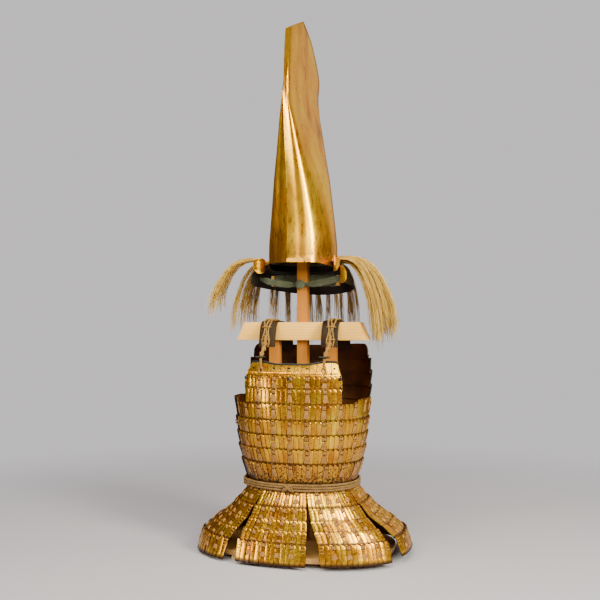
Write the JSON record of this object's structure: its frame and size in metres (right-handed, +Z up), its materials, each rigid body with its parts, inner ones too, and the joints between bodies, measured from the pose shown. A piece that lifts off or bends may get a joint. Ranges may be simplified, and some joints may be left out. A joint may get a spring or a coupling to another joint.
{
  "type": "samurai armour on a wooden stand",
  "caption": "Tall gilt helmet with a hair-hung neck guard above a laced lamellar cuirass and skirt panels, on a wooden stand.",
  "frame": {"origin": "on the floor, under the middle of the whole", "axes": "+Z up, -Y towards the wearer's front, +X towards the wearer's left"},
  "size_m": [0.6394, 0.4238, 1.589],
  "materials": {
    "gilt_lacquer": "worn gold leaf on lacquered scales",
    "dark_lacquer": "dark lacquer, semi-gloss",
    "strap_leather": "lacquered leather",
    "stand_wood": "bare planed cypress",
    "tan_cord": "braided silk cord, matt",
    "green_cloth": "woven cloth, matt",
    "hair": "combed animal hair",
    "dark_iron": "blackened iron"
  },
  "bodies": {
    "root": {"back_lame_lower": "gilt_lacquer", "back_lame_middle": "gilt_lacquer", "back_lame_upper": "gilt_lacquer", "back_plate": "gilt_lacquer", "bar_wrap": "green_cloth", "body_lame_1": "gilt_lacquer", "body_lame_2": "gilt_lacquer", "body_lame_3": "gilt_lacquer", "body_lame_4": "gilt_lacquer", "body_lame_5": "gilt_lacquer", "chest_plate": "gilt_lacquer", "chin_band": "green_cloth", "chin_knot": "green_cloth", "front_lame_lower": "gilt_lacquer", "front_lame_upper": "gilt_lacquer", "hair_left": "hair", "hair_right": "hair", "helmet_bar": "stand_wood", "helmet_bowl": "gilt_lacquer", "helmet_crest": "gilt_lacquer", "helmet_ear_lower_left": "gilt_lacquer", "helmet_ear_lower_right": "gilt_lacquer", "helmet_ear_upper_left": "gilt_lacquer", "helmet_ear_upper_right": "gilt_lacquer", "helmet_lining_back_left": "green_cloth", "helmet_lining_back_right": "green_cloth", "helmet_lining_front_left": "green_cloth", "helmet_lining_front_right": "green_cloth", "neck_lame_lower": "dark_lacquer", "neck_lame_upper": "dark_lacquer", "skirt_panel_back_left": "gilt_lacquer", "skirt_panel_back_right": "gilt_lacquer", "skirt_panel_front": "gilt_lacquer", "skirt_panel_front_left": "gilt_lacquer", "skirt_panel_front_right": "gilt_lacquer", "skirt_panel_side_left": "gilt_lacquer", "skirt_panel_side_right": "gilt_lacquer", "stand_batten_left": "stand_wood", "stand_batten_right": "stand_wood", "stand_board": "stand_wood", "stand_crossbar": "stand_wood", "stand_head_block": "stand_wood", "stand_post_left": "stand_wood", "stand_post_middle": "stand_wood", "stand_post_right": "stand_wood", "strap_cord_left": "tan_cord", "strap_cord_right": "tan_cord", "strap_left": "strap_leather", "strap_right": "strap_leather", "stud_left": "dark_iron", "stud_middle": "dark_iron", "stud_right": "dark_iron", "toggle_left": "dark_lacquer", "toggle_right": "dark_lacquer", "waist_knot": "tan_cord", "waist_rope": "tan_cord"}
  },
  "joints": []
}
